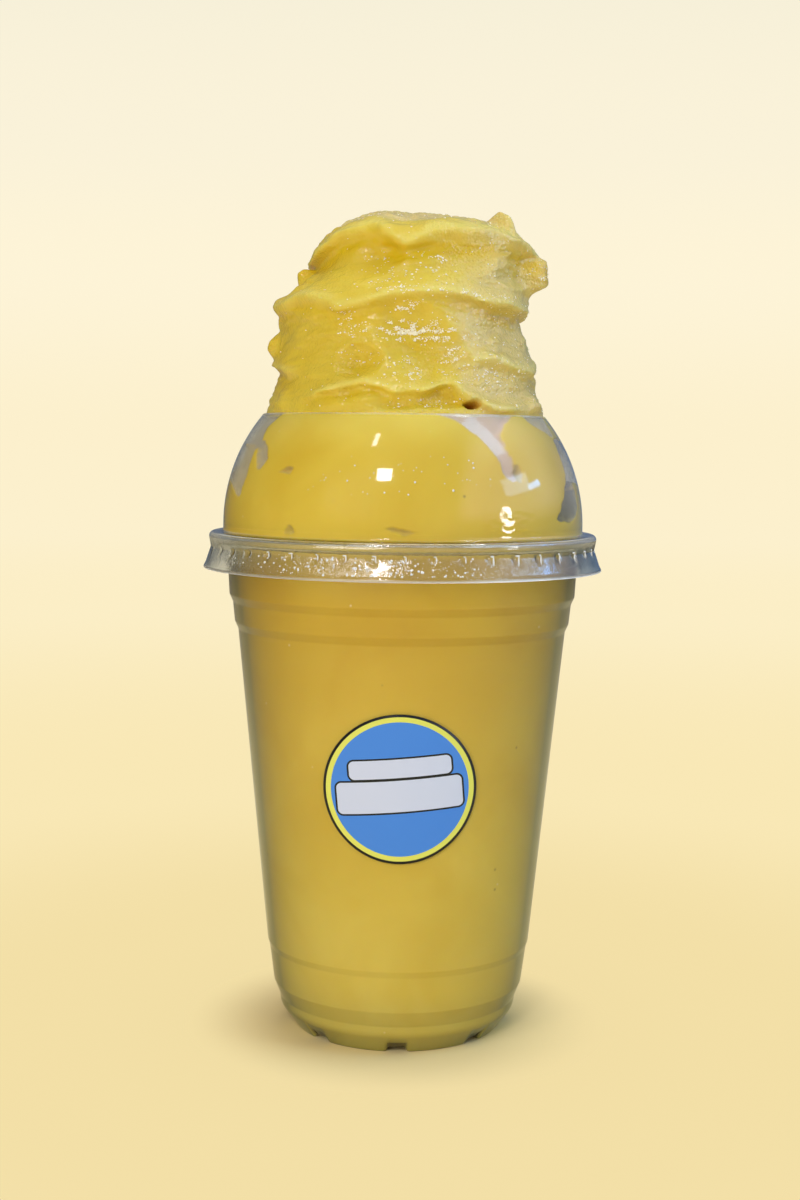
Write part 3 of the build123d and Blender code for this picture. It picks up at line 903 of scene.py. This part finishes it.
grain_count, field_weight = 5100, 7.0
grain_fields = (  # azimuth, share of the heap's height, half width in degrees, half height, amount
    (5, 0.385, 15, 0.034, 6.8),
    (3, 0.500, 5, 0.028, 2.2),
    (-24, 0.450, 4, 0.060, 1.0),
    (-24, 0.740, 6, 0.032, 0.9),
    (8, 0.735, 8, 0.032, 0.8),
    (-5, 0.640, 20, 0.060, 0.35),
    (3, 0.580, 13, 0.011, 2.6),
    (-23, 0.265, 9, 0.035, 0.45),
    (-2, 0.200, 8, 0.055, 1.0),
    (21, 0.280, 4, 0.095, 1.6),
    (40, 0.180, 13, 0.050, 0.9),
    (32, 0.568, 15, 0.014, 2.0),
    (80, 0.690, 12, 0.045, 0.6),
    (5, 0.055, 16, 0.020, 0.8),
    (-160, 0.400, 30, 0.120, 0.8),
    (140, 0.700, 25, 0.080, 0.8),
)


def bead(centre, out, size, flatness, segments, rings):
    """Points and faces of one grain or drop: a ball of the given size about the centre, its
    height along the outward direction scaled by flatness."""
    side = np.cross(out, (0.0, 0.0, 1.0))
    side /= np.linalg.norm(side)
    up = np.cross(side, out)
    lean = np.pi * np.arange(1, rings)[:, None, None] / rings
    spin = 2 * np.pi * np.arange(segments)[:, None] / segments
    ring = np.cos(spin) * side + np.sin(spin) * up
    points = (flatness * np.cos(lean) * out + np.sin(lean) * ring).reshape(-1, 3)
    points = np.vstack([points, flatness * out, -flatness * out])
    index = np.arange((rings - 1) * segments).reshape(-1, segments)
    after = np.roll(index, -1, axis=1)
    faces = np.stack([index[:-1], index[1:], after[1:], after[:-1]], axis=-1).reshape(-1, 4).tolist()
    faces += [[index.size, a, b] for a, b in zip(index[0], after[0])]
    faces += [[index.size + 1, b, a] for a, b in zip(index[-1], after[-1])]
    return centre + size * points, faces


def gathered(name, parts):
    """One smooth mesh out of many (points, faces) in millimetres."""
    starts = np.cumsum([0] + [len(points) for points, _ in parts])
    faces = [[start + corner for corner in face] for start, (_, own) in zip(starts, parts) for face in own]
    return new_piece(name, np.vstack([points for points, _ in parts]), faces)


draw = np.random.default_rng(17)
amount = 0.03 + 0.5 * frost_and_sheen
for azimuth, share, half_w, half_h, much in grain_fields:
    here = bell(apart(heap_azimuth, azimuth), half_w) * bell(heap_share - share, half_h)
    amount = amount + field_weight * much * here
across = facing_of(heap_grid)
patch = np.linalg.norm(across, axis=-1)
streaks = soft_step(waves(heap_grid, 2.2, 41, (1.6, 1.6, 0.8), 60), -0.3, 0.8)
amount = amount * patch * streaks * (heap_share > 0.02) * (cavity < 0.05)
chosen = draw.choice(amount.size, grain_count, p=amount.ravel() / amount.sum())
grains = []
for number in chosen:
    row, column = divmod(number, heap_columns)
    out = across[row, column] / patch[row, column] + draw.normal(0, 0.25, 3)
    out /= np.linalg.norm(out)
    place = heap_grid[row, column] + draw.normal(0, 0.12, 3) * (1, 1, 0.6)
    size = 0.07 + 0.19 * draw.random() ** 2
    points, faces = bead(np.zeros(3), out, size, 0.5, 6, 4)
    points = points * draw.uniform(0.8, 1.7, 3) * (1, 1, 0.75)
    grains.append((place + points, faces))
ice = gathered("ice_grains_and_glints", grains)
# Painted glints: the grains are near white so that they show as the wet heap's glints.
ice_with_painted_glints = {"Base Color": (1.0, 0.94, 0.74), "Roughness": 0.18, "IOR": 1.6}
principled(new_material(ice, "ice with painted glints"), ice_with_painted_glints)
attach(ice, "root")

# -------- Water beads
# Fine milky drops on the cold lid, splashed there or condensed: a band of them on the flared
# skirt and a few on the dome, and drawn-out pale ticks, upright and crosswise at the skirt's
# lugs, that are painted highlights of the lugs' edges. The milky paleness of the drops paints
# their glints. They cling to the plastic, flattened against it.

skirt_beads, dome_beads, skirt_tilt = 300, 40, 0.32
lug_highlight_ticks = (  # which lugs hold them, counted from the front, and their half height and width
    (range(-5, 3), 0.8, 0.18),
    (range(3, 11), 1.25, 0.24),
)

draw = np.random.default_rng(8)
drops = []
for number in range(skirt_beads + dome_beads):
    if number < skirt_beads:
        height = flange_top - 8.0 + 4.2 * draw.random() ** 1.2
        azimuth = draw.normal(-6, 18)
        radius = neck_radius + 1.35 * (flange_top - 3.9 - height) / 4.0
        tilt = skirt_tilt
    else:
        height, azimuth = dome_foot + 9 + 10 * draw.random(), draw.uniform(-30, 30)
        tilt = np.arcsin((height - dome_foot) / dome_arc_radius)
        radius = dome_centre + dome_arc_radius * np.cos(tilt)
    size = 0.10 + 0.24 * draw.random() ** 2.5
    turn = np.radians(azimuth)
    out = np.array([np.sin(turn) * np.cos(tilt), -np.cos(turn) * np.cos(tilt), np.sin(tilt)])
    centre = np.array([radius * np.sin(turn), -radius * np.cos(turn), height])
    drops.append(bead(centre, out, size, 0.6, 10, 6))
# Painted highlights: the pale drawn-out drops at the lugs stand in for the lugs' bright edges.
for lugs, half_height, half_width in lug_highlight_ticks:
    for lug in lugs:
        turn = np.radians(lug * 360 / lug_count + 0.9)
        out = np.array([np.sin(turn), -np.cos(turn), 0.0])
        side = np.array([np.cos(turn), np.sin(turn), 0.0])
        points, faces = bead(np.zeros(3), out, half_width, 0.7, 10, 6)
        top = (neck_radius - 0.05) * out + (0, 0, lug_top - 0.1)
        upright = points * (1, 1, half_height / half_width)
        drops.append((top - (0, 0, half_height) + upright, faces))
        crosswise = points + 3.0 * draw.random() * (points @ side)[:, None] * side
        drops.append((top - 0.35 * side + crosswise, faces))
beads = gathered("water_beads_and_glints", drops)
# Painted glints: the drops are milky pale so that they show as glints.
milky_water_and_glints = {
    "Base Color": (0.97, 0.98, 1.0),
    "Roughness": 0.12,
    "IOR": 1.33,
    "Transmission Weight": 0.25,
}
principled(new_material(beads, "water and painted glints"), milky_water_and_glints)
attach(beads, "root")

# -------- Studio
# A wide cream floor that fades into a cream room, one soft lamp from above the camera's left,
# a cool one from the upper right and one overhead, a pale wall and six small lamps that the
# gloss shows, and a camera a little above the middle of the cup.

floor_radius, floor_sides = 2.5, 96
floor_creams = (  # distance from the cup as a share of the floor's radius, colour
    (0.00, (0.87, 0.715, 0.368)),
    (0.04, (0.895, 0.74, 0.385)),
    (0.12, (0.945, 0.805, 0.465)),
    (0.45, (0.97, 0.855, 0.565)),
    (1.00, (0.975, 0.87, 0.61)),
)
room_creams = (  # height of the direction looked in, from level at 0 to straight up at 1
    (0.00, (0.975, 0.87, 0.61)),
    (0.10, (0.985, 0.9, 0.68)),
    (0.18, (0.955, 0.885, 0.695)),
    (0.30, (0.905, 0.86, 0.69)),
)


rings = floor_radius * np.array([0.02, 0.1, 0.4, 1.0])
turn = np.radians(np.arange(floor_sides) * 360 / floor_sides)
points = [(0.0, 0.0, 0.0)] + [(r * np.cos(t), r * np.sin(t), 0.0) for r in rings for t in turn]
here = 1 + np.arange(floor_sides)
after = np.roll(here, -1)
faces = np.stack([0 * here, here, after], axis=-1).tolist()
for start in floor_sides * np.arange(len(rings) - 1):
    ring = [start + here, start + floor_sides + here, start + floor_sides + after, start + after]
    faces += np.stack(ring, axis=-1).tolist()
mesh = bpy.data.meshes.new("studio_floor")
mesh.from_pydata(points, [], faces)
floor = linked("studio_floor", mesh)


def looked_at(tree):
    """1 for what the camera sees, straight or through plastic, and 0 for all other light."""
    rays = new_node(tree, "LightPath").outputs
    return maths(tree, "MAXIMUM", rays["Is Camera Ray"], rays["Is Transmission Ray"])


# Round the foot the paper is lit and takes the shadow, and further out it shows its own cream.
tree = new_material(floor, "cream studio paper")
away = vector_of(tree, "LENGTH", object_place(tree))
paper = {"Color": ramped(tree, maths(tree, "DIVIDE", away, floor_radius), floor_creams)}
past_foot = rescaled(tree, away, 0.029, 0.056, kind="SMOOTHSTEP")
shown = maths(tree, "MULTIPLY", looked_at(tree), past_foot)
lit = new_node(tree, "BsdfDiffuse", paper).outputs["BSDF"]
glow = new_node(tree, "Emission", paper).outputs["Emission"]
show(tree, new_node(tree, "MixShader", {0: shown, 1: lit, 2: glow}).outputs["Shader"])

# Gloss shows a dim room, bluer to the right, with the pale wall at its right-hand end.
world = bpy.data.worlds.new("studio room")
bpy.context.scene.world = world
world.use_nodes = True
tree = world.node_tree
tree.nodes.clear()
way = new_node(tree, "TexCoord").outputs["Generated"]
way = new_node(tree, "SeparateXYZ", {"Vector": way}).outputs
walls = rescaled(tree, way["X"], -0.6, 0.6)
walls = mixed(tree, walls, (0.11, 0.11, 0.1), (0.12, 0.22, 0.42))
pale = rescaled(tree, way["X"], 0.50, 0.68, kind="SMOOTHSTEP")
pale = maths(tree, "MULTIPLY", pale, rescaled(tree, way["Z"], 0.02, 0.20, kind="SMOOTHSTEP"))
near_end = rescaled(tree, way["Y"], 0.20, 0.65, 1.0, 0.25, kind="SMOOTHSTEP")
walls = mixed(tree, maths(tree, "MULTIPLY", pale, near_end), walls, (1.35, 1.25, 1.55))
glossy = new_node(tree, "LightPath").outputs["Is Glossy Ray"]
indoors = mixed(tree, glossy, (0.12, 0.12, 0.14), walls)
seen = mixed(tree, looked_at(tree), indoors, ramped(tree, way["Z"], room_creams))
air = new_node(tree, "Background", {"Color": seen}).outputs["Background"]
new_node(tree, "OutputWorld", {"Surface": air})


def lamp(name, place, size, power, colour, in_gloss):
    """A rectangular area lamp at a place in metres, facing the middle of the drink."""
    data = bpy.data.lights.new(name, "AREA")
    data.shape = "RECTANGLE"
    data.size, data.size_y = size
    data.energy = power
    data.color = colour
    fitting = linked(name, data)
    fitting.location = place
    fitting.rotation_euler = (Vector(place) - Vector((0, 0, 0.13))).to_track_quat("Z", "Y").to_euler()
    fitting.visible_glossy = in_gloss


lamp("key", (-0.58, -0.86, 0.52), (0.70, 0.60), 6.0, (1.0, 0.985, 0.95), False)
lamp("cool side", (0.66, -0.22, 0.95), (0.45, 0.45), 3.0, (0.50, 0.76, 1.0), False)
lamp("overhead", (0.03, 0.16, 1.0), (0.5, 0.5), 3.6, (1.0, 0.95, 0.97), False)
lamp("window", (-0.132, -0.563, 0.519), (0.095, 0.095), 0.72, (0.97, 0.95, 1.0), True)
lamp("strip", (-0.20, -0.40, 0.80), (0.03, 0.13), 0.16, (1.0, 1.0, 1.0), True)
lamp("right strip", (0.34, 0.0, 0.89), (0.06, 0.10), 0.45, (0.95, 0.97, 1.0), True)
lamp("side window", (0.70, -0.14, 0.41), (0.28, 0.12), 0.35, (0.35, 0.62, 1.0), True)
lamp("low window", (0.60, -0.27, 0.20), (0.07, 0.14), 0.50, (0.90, 0.94, 1.0), True)
lamp("blue window", (0.78, 0.057, 0.39), (0.16, 0.04), 0.22, (0.16, 0.45, 1.0), True)

camera_data = bpy.data.cameras.new("camera")
camera_data.sensor_width = 36
camera_data.lens = 51.0
camera = linked("camera", camera_data)
camera.location = (-0.0005, -0.4416, 0.1518)
camera.rotation_euler = (np.radians(90 - 5.22), 0.0, 0.0)
camera.rotation_euler.rotate_axis("Z", np.radians(0.7))
bpy.context.scene.camera = camera
bpy.context.scene.view_settings.view_transform = "Standard"
